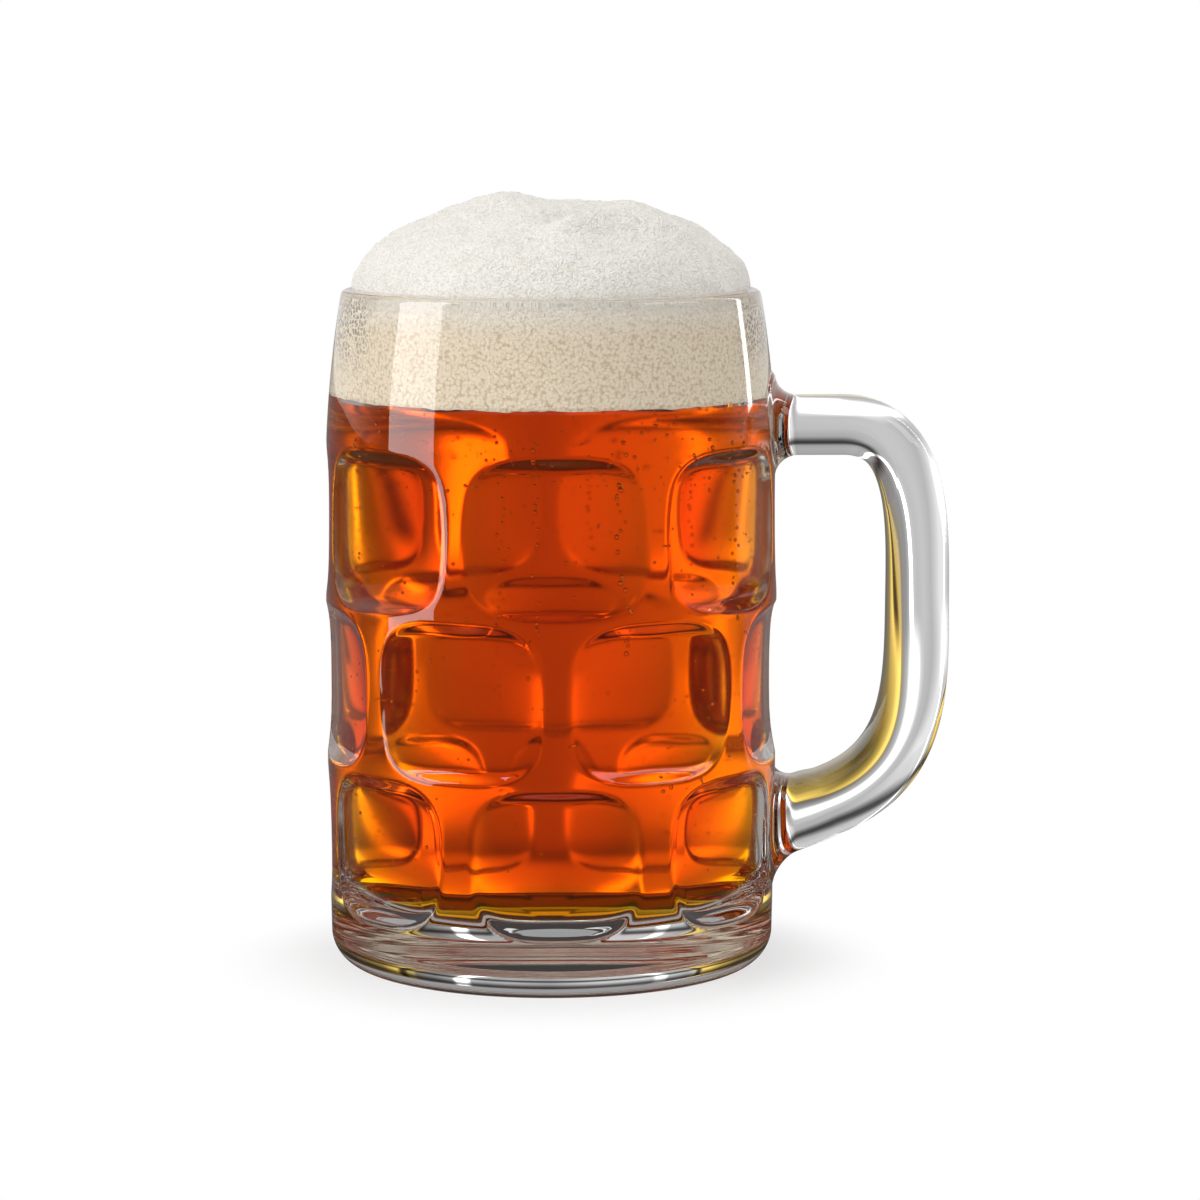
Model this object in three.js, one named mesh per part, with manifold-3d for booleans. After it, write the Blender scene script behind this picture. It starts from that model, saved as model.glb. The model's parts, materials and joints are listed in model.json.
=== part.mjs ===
// Dimpled glass beer mug with an applied handle, filled with beer and topped with foam.
// Millimetres, +Z up. The origin is the middle of the flat base on the mug's axis, the handle points to +X.
import * as THREE from "three";
import { mergeVertices, toCreasedNormals } from "three/addons/utils/BufferGeometryUtils.js";
import Module from "manifold-3d";

const wasm = await Module();
wasm.setup();

// Outside of the glass body.
const RIM_HEIGHT = 142;
const RIM_RADIUS = 43.8;
const SHOULDER_RADIUS = 46.95; // where the tapered lip starts, above the dimples
const LIP_BOW = 0.45; // how far the lip swells out past a straight cone
const FOOT_RADIUS = 46.5;
const BARREL_BOW = 0.5; // how far the barrel swells out between foot and shoulder
const HEEL_RADIUS = 7.4; // rounding between the barrel and the flat base

// Inside of the glass body, the shape of the plunger that presses it.
const BASE_THICKNESS = 13;
const CAVITY_RADIUS = 38.5; // at the floor
const CAVITY_DRAFT = 0.8; // degrees that the cavity widens upwards
const FLOOR_FILLET = 9;
const LIP_WALL = 2.6; // glass thickness at the rim

// Pressed dimples: three rows of sunk, rounded squares with a steep side wall, the middle row staggered.
const DIMPLE_DEPTH = 3;
const DIMPLE_SQUARENESS = 3.3; // exponent of the outline, 2 is an ellipse and more is squarer
const DIMPLE_WALL = 45; // degrees that the side wall rises against the floor
const FLOOR_FLATNESS = 0.75; // 0 is a floor that follows the barrel round, 1 is a flat face
const FLOOR_DISH = 0.25; // share of the depth that the floor loses toward its upper and lower end
const FOOT_BAND = 13.5; // plain glass from the table up to the lower row
const LOWER_ROW_HEIGHT = 30.2;
const MIDDLE_ROW_HEIGHT = 32.6;
const UPPER_ROW_HEIGHT = 33;
const ROW_LAND = 0.7; // plain glass between two rows
const SHOULDER_LAND = 0.8; // plain glass between the upper row and the shoulder
const DIMPLES_PER_ROW = 7;
const LOWER_COLUMN_LAND = 8; // degrees of plain glass between two dimples of the lower row
const MIDDLE_COLUMN_LAND = 5.2;
const UPPER_COLUMN_LAND = 3.6;
const FIRST_DIMPLE = -90; // degrees from the handle to one dimple of the upper row

// Handle: a flat arm at the top, an upright grip and a slanting arm at the bottom.
const WELD_PLANE = 50.5; // distance from the axis to the flat faces where the handle is fused on
const UPPER_ARM_HEIGHT = 113.5;
const UPPER_BEND_START = 61; // distance from the axis where the upper arm starts to bend down
const GRIP_REACH = 77; // from the axis to the middle of the grip
const GRIP_HEIGHT = 76; // where the grip is farthest from the body
const LOWER_BEND_END = 58; // distance from the axis where the lower arm is straight again
const LOWER_BEND_HEIGHT = 33.6;
const LOWER_ARM_SLOPE = 20; // degrees that the lower arm falls toward the body
const UPPER_BEND_PULL = 17; // length of the curve handles that set how tight each bend is
const UPPER_GRIP_PULL = 16;
const LOWER_GRIP_PULL = 18.5;
const LOWER_BEND_PULL = 20.6;
const HANDLE_WIDTH = 20;
const UPPER_ARM_THICKNESS = 12.4;
const GRIP_THICKNESS = 13;
const LOWER_BEND_THICKNESS = 14;
const LOWER_ARM_THICKNESS = 18.4; // measured upright, at the weld plane
const HANDLE_SQUARENESS = 2.9;
const ROOT_FILLET = 5; // flare of each root where it meets the barrel

// Contents.
const FILL_GAP = 0.3; // between the glass and what it holds
const BEER_LEVEL = 119.6;
const FOAM_CROWN = 18; // height of the foam's dome above the rim
const FOAM_SWELLS = [
  { x: -13, y: -3, rise: 2.4, spread: 11 },
  { x: 19, y: 2, rise: 1.4, spread: 8 },
  { x: 4, y: 0, rise: -1.2, spread: 7 },
];

// Fineness of the facets.
const TURN_STEPS = 8 * DIMPLES_PER_ROW;
const FOAM_TURN_STEPS = 48;
const ARC_STEPS = 4;
const WALL_STEPS = 4;
const DIMPLE_SIDES = 24;
const DISH_RINGS = [0.45, 0.82, 1, 1.12]; // share of the way from a dimple's middle to its crease
const HANDLE_SIDES = 20;
const ARM_STEPS = 9;
const BEND_STEPS = 10;
const CREASE = 12; // degrees between two faces from which their edge is drawn sharp

const dimpledHeight = LOWER_ROW_HEIGHT + MIDDLE_ROW_HEIGHT + UPPER_ROW_HEIGHT + 2 * ROW_LAND;
const shoulderHeight = FOOT_BAND + dimpledHeight + SHOULDER_LAND;
const lipRound = LIP_WALL / 2;
const lipCentre = new THREE.Vector2(RIM_RADIUS - lipRound, RIM_HEIGHT - lipRound);
const floorCorner = new THREE.Vector2(
  CAVITY_RADIUS - FLOOR_FILLET,
  BASE_THICKNESS + FLOOR_FILLET,
);

// A closed geometry as a solid that can be joined and cut. Triangles that collapse on the axis are dropped.
function solidOf(geometry) {
  geometry.deleteAttribute("normal");
  geometry.deleteAttribute("uv");
  const merged = mergeVertices(geometry);
  const corners = merged.index.array;
  const triangles = [];
  for (let i = 0; i < corners.length; i += 3) {
    const [a, b, c] = corners.subarray(i, i + 3);
    if (a !== b && b !== c && c !== a) triangles.push(a, b, c);
  }
  return new wasm.Manifold(
    new wasm.Mesh({
      numProp: 3,
      vertProperties: merged.attributes.position.array,
      triVerts: new Uint32Array(triangles),
    }),
  );
}

function meshOf(solid, name, material) {
  const { vertProperties, triVerts } = solid.getMesh();
  const geometry = new THREE.BufferGeometry();
  geometry.setAttribute("position", new THREE.BufferAttribute(vertProperties, 3));
  geometry.setIndex(new THREE.BufferAttribute(triVerts, 1));
  const creased = toCreasedNormals(geometry, THREE.MathUtils.degToRad(CREASE));
  const mesh = new THREE.Mesh(creased, material);
  mesh.name = name;
  return mesh;
}

// A revolved outline of (radius, height) points, turned from the geometry class's Y axis to Z.
function revolve(outline, steps) {
  return new THREE.LatheGeometry(outline, steps).rotateX(Math.PI / 2);
}

// A solid through rings of points. The rings turn counter-clockwise seen from the end that they run toward.
function loft(rings, startPoint, endPoint) {
  const sides = rings[0].length;
  const points = [...rings.flat(), startPoint, endPoint];
  const start = points.length - 2;
  const end = points.length - 1;
  const last = (rings.length - 1) * sides;
  const index = [];
  for (let k = 0; k < sides; k++) {
    const next = (k + 1) % sides;
    index.push(start, next, k);
    for (let ring = 0; ring < last; ring += sides) {
      index.push(ring + k, ring + next, ring + sides + next);
      index.push(ring + k, ring + sides + next, ring + sides + k);
    }
    index.push(end, last + k, last + next);
  }
  const geometry = new THREE.BufferGeometry().setFromPoints(points);
  geometry.setIndex(index);
  return solidOf(geometry);
}

// The point of a squared-off ellipse of half sizes 1 at a given turn.
function squaredEllipse(turn, squareness) {
  const power = 2 / squareness;
  const cos = Math.cos(turn);
  const sin = Math.sin(turn);
  return new THREE.Vector2(
    Math.sign(cos) * Math.abs(cos) ** power,
    Math.sign(sin) * Math.abs(sin) ** power,
  );
}

// A swell that is nothing at both ends of a stretch and 1 in its middle.
function bow(share) {
  return 4 * share * (1 - share);
}

function barrelRadius(z) {
  const share = (z - HEEL_RADIUS) / (shoulderHeight - HEEL_RADIUS);
  return THREE.MathUtils.lerp(FOOT_RADIUS, SHOULDER_RADIUS, share) + BARREL_BOW * bow(share);
}

function lipRadius(z) {
  const share = (z - shoulderHeight) / (lipCentre.y - shoulderHeight);
  return THREE.MathUtils.lerp(SHOULDER_RADIUS, RIM_RADIUS, share) + LIP_BOW * bow(share);
}

// The cavity widens steadily, and a little more above the shoulder, where the wall thins to the lip.
function cavityRadius(z) {
  const draft = Math.tan(THREE.MathUtils.degToRad(CAVITY_DRAFT));
  const straight = CAVITY_RADIUS + draft * (z - floorCorner.y);
  const mouth = RIM_RADIUS - LIP_WALL;
  const straightMouth = CAVITY_RADIUS + draft * (lipCentre.y - floorCorner.y);
  const share = Math.max(0, (z - shoulderHeight) / (lipCentre.y - shoulderHeight));
  return straight + (mouth - straightMouth) * share ** 2;
}

// Points of a wall whose radius is a function of the height.
function wall(radiusAt, fromZ, toZ, steps) {
  const points = [];
  for (let i = 0; i <= steps; i++) {
    const z = THREE.MathUtils.lerp(fromZ, toZ, i / steps);
    points.push(new THREE.Vector2(radiusAt(z), z));
  }
  return points;
}

function arc(centre, radius, fromTurn, toTurn, steps) {
  const clockwise = toTurn < fromTurn;
  return new THREE.EllipseCurve(
    centre.x, centre.y, radius, radius, fromTurn, toTurn, clockwise,
  ).getPoints(steps);
}

function plainBody() {
  const heelCentre = new THREE.Vector2(FOOT_RADIUS - HEEL_RADIUS, HEEL_RADIUS);
  const outline = [
    new THREE.Vector2(0, 0),
    ...arc(heelCentre, HEEL_RADIUS, -Math.PI / 2, 0, ARC_STEPS),
    ...wall(barrelRadius, HEEL_RADIUS, shoulderHeight, WALL_STEPS).slice(1),
    ...wall(lipRadius, shoulderHeight, lipCentre.y, WALL_STEPS).slice(1),
    ...arc(lipCentre, lipRound, 0, Math.PI, ARC_STEPS).slice(1),
    ...wall(cavityRadius, lipCentre.y, shoulderHeight, WALL_STEPS).slice(1),
    ...arc(floorCorner, FLOOR_FILLET, 0, -Math.PI / 2, ARC_STEPS),
    new THREE.Vector2(0, BASE_THICKNESS),
  ];
  return solidOf(revolve(outline, TURN_STEPS));
}

// The cutter of one dimple. Past the crease its side wall goes on rising, to leave the barrel cleanly.
function dimpleCutter(row, column) {
  const middle = THREE.MathUtils.degToRad(row.first + column * row.pitch);
  const steepness = Math.tan(THREE.MathUtils.degToRad(DIMPLE_WALL));
  const dishPoint = (share, across, up, lift) => {
    const z = row.centre + row.halfHeight * share * up;
    const turn = THREE.MathUtils.degToRad(row.halfAngle * share * across);
    const flatRise = (SHOULDER_RADIUS - DIMPLE_DEPTH) * (1 / Math.cos(turn) - 1);
    const floor = DIMPLE_DEPTH * (1 - FLOOR_DISH * (share * up) ** 2) - FLOOR_FLATNESS * flatRise;
    const side = steepness * row.halfHeight * (1 - share);
    const radius = barrelRadius(z) - Math.min(floor, side) + lift;
    return new THREE.Vector3(
      radius * Math.cos(middle + turn),
      radius * Math.sin(middle + turn),
      z,
    );
  };
  const ring = (share, lift) =>
    Array.from({ length: DIMPLE_SIDES }, (_, k) => {
      const { x, y } = squaredEllipse((2 * Math.PI * k) / DIMPLE_SIDES, DIMPLE_SQUARENESS);
      return dishPoint(share, x, y, lift);
    });
  const outermost = DISH_RINGS.at(-1);
  const rings = DISH_RINGS.map((share) => ring(share, 0));
  rings.push(ring(outermost, DIMPLE_DEPTH));
  return loft(rings, dishPoint(0, 0, 0, 0), dishPoint(0, 0, 0, 3 * DIMPLE_DEPTH));
}

// Rows from the foot up, the middle one turned by half a column.
function dimpleRows() {
  const pitch = 360 / DIMPLES_PER_ROW;
  const rows = [
    { height: LOWER_ROW_HEIGHT, land: LOWER_COLUMN_LAND, first: FIRST_DIMPLE },
    { height: MIDDLE_ROW_HEIGHT, land: MIDDLE_COLUMN_LAND, first: FIRST_DIMPLE + pitch / 2 },
    { height: UPPER_ROW_HEIGHT, land: UPPER_COLUMN_LAND, first: FIRST_DIMPLE },
  ];
  let bottom = FOOT_BAND;
  for (const row of rows) {
    row.pitch = pitch;
    row.halfAngle = (pitch - row.land) / 2;
    row.halfHeight = row.height / 2;
    row.centre = bottom + row.halfHeight;
    bottom += row.height + ROW_LAND;
  }
  return rows;
}

// The handle's centre line in the XZ plane, from inside the upper wall round to inside the lower wall.
function handleCurves() {
  const point = (x, z) => new THREE.Vector3(x, 0, z);
  const slope = THREE.MathUtils.degToRad(LOWER_ARM_SLOPE);
  const grip = point(GRIP_REACH, GRIP_HEIGHT);
  const upperBend = point(UPPER_BEND_START, UPPER_ARM_HEIGHT);
  const lowerBend = point(LOWER_BEND_END, LOWER_BEND_HEIGHT);
  const rootDepth = CAVITY_RADIUS;
  const lowerRootZ = LOWER_BEND_HEIGHT - (LOWER_BEND_END - rootDepth) * Math.tan(slope);
  const lowerPull = point(
    LOWER_BEND_END + LOWER_BEND_PULL * Math.cos(slope),
    LOWER_BEND_HEIGHT + LOWER_BEND_PULL * Math.sin(slope),
  );
  return [
    new THREE.LineCurve3(point(rootDepth, UPPER_ARM_HEIGHT), upperBend),
    new THREE.CubicBezierCurve3(
      upperBend,
      point(UPPER_BEND_START + UPPER_BEND_PULL, UPPER_ARM_HEIGHT),
      point(GRIP_REACH, GRIP_HEIGHT + UPPER_GRIP_PULL),
      grip,
    ),
    new THREE.CubicBezierCurve3(
      grip,
      point(GRIP_REACH, GRIP_HEIGHT - LOWER_GRIP_PULL),
      lowerPull,
      lowerBend,
    ),
    new THREE.LineCurve3(lowerBend, point(rootDepth, lowerRootZ)),
  ];
}

// How far a root has flared out at a distance from the barrel: a quarter-round fillet.
function rootFlare(distance) {
  const run = THREE.MathUtils.clamp(ROOT_FILLET - distance, 0, ROOT_FILLET);
  return ROOT_FILLET - Math.sqrt(ROOT_FILLET ** 2 - run ** 2);
}

// One section of the handle. Near the barrel the sections stand upright and flare into the wall.
function handleRing(centre, tangent, thickness) {
  const upright = 1 - THREE.MathUtils.smoothstep(centre.x, WELD_PLANE, LOWER_BEND_END);
  const outward = new THREE.Vector3(-tangent.z, 0, tangent.x);
  const vertical = new THREE.Vector3(0, 0, Math.sign(outward.z));
  outward.lerp(vertical, upright).normalize();
  return Array.from({ length: HANDLE_SIDES }, (_, k) => {
    const turn = (2 * Math.PI * k) / HANDLE_SIDES;
    const { x, y } = squaredEllipse(turn, HANDLE_SQUARENESS);
    const flaredSide = y * (HANDLE_WIDTH / 2 + ROOT_FILLET);
    const barrel = Math.sqrt(SHOULDER_RADIUS ** 2 - flaredSide ** 2);
    const flare = rootFlare(centre.x - barrel);
    const place = centre.clone().addScaledVector(outward, x * (thickness / 2 + flare));
    place.y -= y * (HANDLE_WIDTH / 2 + flare);
    return place;
  });
}

function handleSweep() {
  const curves = handleCurves();
  const steps = [ARM_STEPS, BEND_STEPS, BEND_STEPS, ARM_STEPS];
  const thicknessAt = [
    [UPPER_ARM_THICKNESS, UPPER_ARM_THICKNESS],
    [UPPER_ARM_THICKNESS, GRIP_THICKNESS],
    [GRIP_THICKNESS, LOWER_BEND_THICKNESS],
    [LOWER_BEND_THICKNESS, LOWER_ARM_THICKNESS],
  ];
  const rings = [];
  curves.forEach((curve, c) => {
    for (let i = c === 0 ? 0 : 1; i <= steps[c]; i++) {
      const share = i / steps[c];
      const thickness = THREE.MathUtils.lerp(...thicknessAt[c], share);
      rings.push(handleRing(curve.getPoint(share), curve.getTangent(share), thickness));
    }
  });
  return loft(rings, curves[0].getPoint(0), curves.at(-1).getPoint(1));
}

// Everything on the body's side of the weld planes.
function bodySide() {
  const box = new THREE.BoxGeometry(2 * WELD_PLANE, 2 * WELD_PLANE, 2 * RIM_HEIGHT);
  return solidOf(box.translate(0, 0, RIM_HEIGHT / 2));
}

// A core that ends halfway through the wall below the dimples, so that the roots never reach the cavity.
function rootCore() {
  const halfWall = (z) => (barrelRadius(z) - DIMPLE_DEPTH + cavityRadius(z)) / 2;
  const outline = [
    new THREE.Vector2(0, 0),
    ...wall(halfWall, 0, RIM_HEIGHT, WALL_STEPS),
    new THREE.Vector2(0, RIM_HEIGHT),
  ];
  return solidOf(revolve(outline, TURN_STEPS));
}

function glassBody(roots) {
  let body = plainBody();
  for (const row of dimpleRows()) {
    for (let column = 0; column < DIMPLES_PER_ROW; column++) {
      body = body.subtract(dimpleCutter(row, column));
    }
  }
  return body.add(roots);
}

function beer() {
  const wallRadius = (z) => cavityRadius(z) - FILL_GAP;
  const outline = [
    new THREE.Vector2(0, BASE_THICKNESS + FILL_GAP),
    ...arc(floorCorner, FLOOR_FILLET - FILL_GAP, -Math.PI / 2, 0, ARC_STEPS),
    ...wall(wallRadius, shoulderHeight, BEER_LEVEL, 1),
    new THREE.Vector2(0, BEER_LEVEL),
  ];
  return solidOf(revolve(outline, TURN_STEPS));
}

// The foam fills the lip, laps over its inner rounding and rises in a dome with soft swells.
function foamHead() {
  const lapRadius = lipRound + FILL_GAP;
  const lap = arc(lipCentre, lapRadius, Math.PI, (2 * Math.PI) / 3, ARC_STEPS);
  const edge = lap.at(-1);
  const dome = new THREE.EllipseCurve(
    0, edge.y, edge.x, FOAM_CROWN, 0, Math.PI / 2, false,
  ).getPoints(2 * ARC_STEPS);
  const outline = [
    new THREE.Vector2(0, BEER_LEVEL),
    ...wall((z) => cavityRadius(z) - FILL_GAP, BEER_LEVEL, lipCentre.y, WALL_STEPS),
    ...lap.slice(1),
    ...dome.slice(1, -1),
    new THREE.Vector2(0, edge.y + FOAM_CROWN),
  ];
  const geometry = revolve(outline, FOAM_TURN_STEPS);
  const place = geometry.attributes.position;
  for (let i = 0; i < place.count; i++) {
    const height = place.getZ(i) - edge.y;
    if (height <= 0) continue;
    for (const { x, y, rise, spread } of FOAM_SWELLS) {
      const distance = Math.hypot(place.getX(i) - x, place.getY(i) - y) / spread;
      place.setZ(i, place.getZ(i) + rise * (height / FOAM_CROWN) * Math.exp(-(distance ** 2)));
    }
  }
  return solidOf(geometry);
}

const glass = { color: 0xe9efee, roughness: 0.04, metalness: 0, transparent: true, opacity: 0.35 };
const sweep = handleSweep();
const inner = bodySide();

const mug = new THREE.Group();
mug.add(
  meshOf(
    glassBody(sweep.intersect(inner).subtract(rootCore())),
    "glass_body",
    new THREE.MeshStandardMaterial(glass),
  ),
  meshOf(sweep.subtract(inner), "handle", new THREE.MeshStandardMaterial(glass)),
  meshOf(
    beer(),
    "beer",
    new THREE.MeshStandardMaterial({ color: 0xc4560c, roughness: 0.08, metalness: 0 }),
  ),
  meshOf(
    foamHead(),
    "foam_head",
    new THREE.MeshStandardMaterial({ color: 0xf3ead8, roughness: 0.9, metalness: 0 }),
  ),
);

export default mug;
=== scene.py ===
# %% [markdown]
# # A dimpled beer mug, filled
# The mug is pressed from clear soda-lime glass: a plunger forms the smooth inside while a mould
# presses three rows of dimples into the outside. The handle is drawn from a second gather of glass
# and fused on. It holds half a litre of amber beer under a head of foam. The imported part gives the
# frame, so every piece made here goes where the solids are, in metres, and nothing has to be
# fitted by eye.

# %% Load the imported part
import json
import math
import random

import bmesh
import bpy
import numpy as np
from mathutils import Euler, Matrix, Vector

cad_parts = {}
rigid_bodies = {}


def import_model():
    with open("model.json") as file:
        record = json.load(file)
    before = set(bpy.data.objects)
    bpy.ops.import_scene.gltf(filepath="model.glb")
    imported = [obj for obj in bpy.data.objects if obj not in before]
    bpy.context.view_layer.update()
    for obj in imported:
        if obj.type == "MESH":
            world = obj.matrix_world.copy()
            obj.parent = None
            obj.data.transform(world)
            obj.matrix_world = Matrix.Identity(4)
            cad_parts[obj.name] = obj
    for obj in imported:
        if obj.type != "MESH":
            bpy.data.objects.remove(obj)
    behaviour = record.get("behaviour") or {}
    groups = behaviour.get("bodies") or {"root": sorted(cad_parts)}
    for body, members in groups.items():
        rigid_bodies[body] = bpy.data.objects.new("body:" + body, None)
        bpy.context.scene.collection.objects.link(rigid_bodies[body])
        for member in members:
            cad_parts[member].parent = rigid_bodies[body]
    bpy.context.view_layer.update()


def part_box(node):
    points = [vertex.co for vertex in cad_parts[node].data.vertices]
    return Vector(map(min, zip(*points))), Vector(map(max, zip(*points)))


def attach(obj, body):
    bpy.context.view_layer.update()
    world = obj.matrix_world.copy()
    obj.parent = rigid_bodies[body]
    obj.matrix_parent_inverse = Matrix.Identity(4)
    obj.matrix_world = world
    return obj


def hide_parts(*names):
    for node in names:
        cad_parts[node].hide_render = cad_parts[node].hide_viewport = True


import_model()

MM = 0.001

# %% [markdown]
# ## Sizes
# The outside is a barrel that swells a little between a rounded heel and a shoulder, with a
# tapered lip above. The inside is the plunger's shape: a flat floor, a round fillet and a wall
# that widens steadily upwards. One could measure the solids for these, but the same named sizes as
# in the solid part are easier to read, and they keep the two alike.

# %% Sizes of the glass
RIM_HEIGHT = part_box("glass_body")[1][2]
RIM_RADIUS = 43.8 * MM
SHOULDER_HEIGHT = 111.5 * MM
SHOULDER_RADIUS = 46.95 * MM
LIP_BOW = 0.45 * MM
FOOT_RADIUS = 46.5 * MM
BARREL_BOW = 0.5 * MM
HEEL_RADIUS = 7.4 * MM
BASE_THICKNESS = 13 * MM
CAVITY_RADIUS = 38.5 * MM
CAVITY_DRAFT = math.radians(0.8)
FLOOR_FILLET = 9 * MM
LIP_WALL = 2.6 * MM
LIP_ROUND = LIP_WALL / 2
LIP_CENTRE = (RIM_RADIUS - LIP_ROUND, RIM_HEIGHT - LIP_ROUND)
FLOOR_CORNER = (CAVITY_RADIUS - FLOOR_FILLET, BASE_THICKNESS + FLOOR_FILLET)

print("wall at the shoulder, mm:", round((SHOULDER_RADIUS - CAVITY_RADIUS) / MM, 2))

# %% [markdown]
# ## Outline of the glass
# A glass that is turned or pressed has a round form, so its shape is a radius for each height. The
# barrel and the lip bow outward a little, because hot glass sags into a soft curve. A drawn curve
# with a Screw modifier could do the same, but functions can be asked for a radius anywhere, which
# the dimples, beer, foam and bubbles need.

# %% Outline of the glass


def bow(share):
    return 4 * share * (1 - share)


def barrel_radius(z):
    share = (z - HEEL_RADIUS) / (SHOULDER_HEIGHT - HEEL_RADIUS)
    return FOOT_RADIUS + (SHOULDER_RADIUS - FOOT_RADIUS) * share + BARREL_BOW * bow(share)


def lip_radius(z):
    share = (z - SHOULDER_HEIGHT) / (LIP_CENTRE[1] - SHOULDER_HEIGHT)
    return SHOULDER_RADIUS + (RIM_RADIUS - SHOULDER_RADIUS) * share + LIP_BOW * bow(share)


def cavity_radius(z):
    draft = math.tan(CAVITY_DRAFT)
    straight = CAVITY_RADIUS + draft * (z - FLOOR_CORNER[1])
    straight_mouth = CAVITY_RADIUS + draft * (LIP_CENTRE[1] - FLOOR_CORNER[1])
    share = np.maximum(0, (z - SHOULDER_HEIGHT) / (LIP_CENTRE[1] - SHOULDER_HEIGHT))
    return straight + (RIM_RADIUS - LIP_WALL - straight_mouth) * share**2


half_height = RIM_HEIGHT / 2
half_height_wall = barrel_radius(half_height) - cavity_radius(half_height)
print("wall at half height, mm:", round(float(half_height_wall) / MM, 2))

# %% [markdown]
# ## Dimples
# The mould presses three rows of seven dimples, and the middle row is turned by half a step. Each
# is a rounded square with a steep side wall and a floor that is nearly flat, because the mould's
# faces are flat. Its corners are rounded: hot glass never fills a sharp corner. The depth is a
# function of angle and height, since a sculpted or booleaned dimple would leave an uneven surface,
# and glass shows every flaw.

# %% Dimples
DIMPLES_PER_ROW = 7
DIMPLE_PITCH = 2 * math.pi / DIMPLES_PER_ROW
FIRST_DIMPLE = math.radians(-90)
DIMPLE_DEPTH = 3 * MM
DIMPLE_SQUARENESS = 3.3
FLOOR_FLATNESS = 0.75
FLOOR_DISH = 0.25
WALL_SLOPE = math.tan(math.radians(45))
INNER_ROUND = 0.35 * MM
RIM_ROUND = 0.12 * MM
EDGE_TRIM = 0.02 * MM
ROWS = (
    dict(centre=28.6 * MM, half=15.1 * MM, land=math.radians(8), turn=0),
    dict(centre=60.7 * MM, half=16.3 * MM, land=math.radians(5.2), turn=DIMPLE_PITCH / 2),
    dict(centre=94.2 * MM, half=16.5 * MM, land=math.radians(3.6), turn=0),
)


def soft_min(a, b, round_off):
    """The smaller of two heights, with the corner between them rounded off."""
    return (a + b - np.sqrt((a - b) ** 2 + 4 * round_off**2)) / 2


def dimple_depth(turn, z):
    """How deep the dimples are pressed at an angle about the axis and a height."""
    depth = np.zeros(np.broadcast(turn, z).shape)
    for row in ROWS:
        half_angle = (DIMPLE_PITCH - row["land"]) / 2
        offset = turn - FIRST_DIMPLE - row["turn"]
        across = (offset + DIMPLE_PITCH / 2) % DIMPLE_PITCH - DIMPLE_PITCH / 2
        u = np.abs(across / half_angle)
        v = np.abs((z - row["centre"]) / row["half"])
        share = (u**DIMPLE_SQUARENESS + v**DIMPLE_SQUARENESS) ** (1 / DIMPLE_SQUARENESS)
        flat_rise = (SHOULDER_RADIUS - DIMPLE_DEPTH) * (1 / np.cos(across) - 1)
        floor = DIMPLE_DEPTH * (1 - FLOOR_DISH * v**2) - FLOOR_FLATNESS * flat_rise
        side = WALL_SLOPE * row["half"] * (1 - share)
        pressed = soft_min(floor, side, INNER_ROUND)
        rounded = (pressed + np.sqrt(pressed**2 + 4 * RIM_ROUND**2)) / 2
        depth = depth + np.maximum(0, rounded - EDGE_TRIM)
    return depth


middle_of_top_row = dimple_depth(np.array(FIRST_DIMPLE), np.array(ROWS[-1]["centre"]))
print("deepest dimple, mm:", round(float(middle_of_top_row) / MM, 2))

# %% [markdown]
# ## Closed skins
# A clear body must be one closed skin, or light would not know when it is inside the glass. Every
# piece here is made of rings that are joined in order and closed at both ends. A Solidify modifier
# on an open shell is another way, but rings keep the exact wall thickness.

# %% Closed skins


def wall(radius_at, start, end, steps):
    z = np.linspace(start, end, steps + 1)
    return list(zip(radius_at(z), z))


def arc(centre, radius, start, end, steps):
    turn = np.linspace(start, end, steps + 1)
    return list(zip(centre[0] + radius * np.cos(turn), centre[1] + radius * np.sin(turn)))


def add_mesh(name, points, faces):
    """Puts a mesh of points and faces into the scene."""
    mesh = bpy.data.meshes.new(name)
    mesh.from_pydata(points, [], faces)
    piece = bpy.data.objects.new(name, mesh)
    bpy.context.collection.objects.link(piece)
    return piece


def skin(name, rings, start, end):
    """A closed mesh through rings that turn counter-clockwise, seen from the end they run to."""
    rings = np.asarray(rings)
    count, sides, _ = rings.shape
    points = np.vstack([rings.reshape(-1, 3), [start], [end]])
    side = np.arange(sides)
    following = (side + 1) % sides
    lower = np.arange(count - 1)[:, None] * sides
    upper = lower + sides
    quads = np.stack([lower + side, lower + following, upper + following, upper + side], -1)
    last = (count - 1) * sides
    edges = list(zip(side.tolist(), following.tolist()))
    start_cap = [(count * sides, b, a) for a, b in edges]
    end_cap = [(count * sides + 1, last + a, last + b) for a, b in edges]
    piece = add_mesh(name, points.tolist(), quads.reshape(-1, 4).tolist() + start_cap + end_cap)
    piece.data.shade_smooth()
    return piece


def revolved_rings(outline, columns, press=None):
    """Rings of a revolved outline of (radius, height), with dimples where press says so."""
    turn = np.linspace(0, 2 * math.pi, columns, endpoint=False)
    rings = []
    for i, (radius, z) in enumerate(outline):
        r = np.full(columns, radius)
        if press and press[i]:
            r = r - dimple_depth(turn, np.full(columns, z))
        rings.append(np.stack([r * np.cos(turn), r * np.sin(turn), np.full(columns, z)], -1))
    return rings


print("skin helpers ready")

# %% [markdown]
# ## Glass body
# The body is one piece of glass. Its skin runs from the middle of the base up the outside, over
# the fire-polished rim and down the inside to the floor. A normal map could fake the dimples, but
# glass shows its shape only by bending light, so the rows are fine enough that every dimple edge
# is real relief.

# %% Glass body
COLUMNS = DIMPLES_PER_ROW * 72
HEEL_STEPS = 56
BARREL_STEPS = 200
LIP_STEPS = 28
RIM_STEPS = 14
INSIDE_STEPS = 60
FILLET_STEPS = 48
FLAT_EDGE = 0.4 * MM

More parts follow.
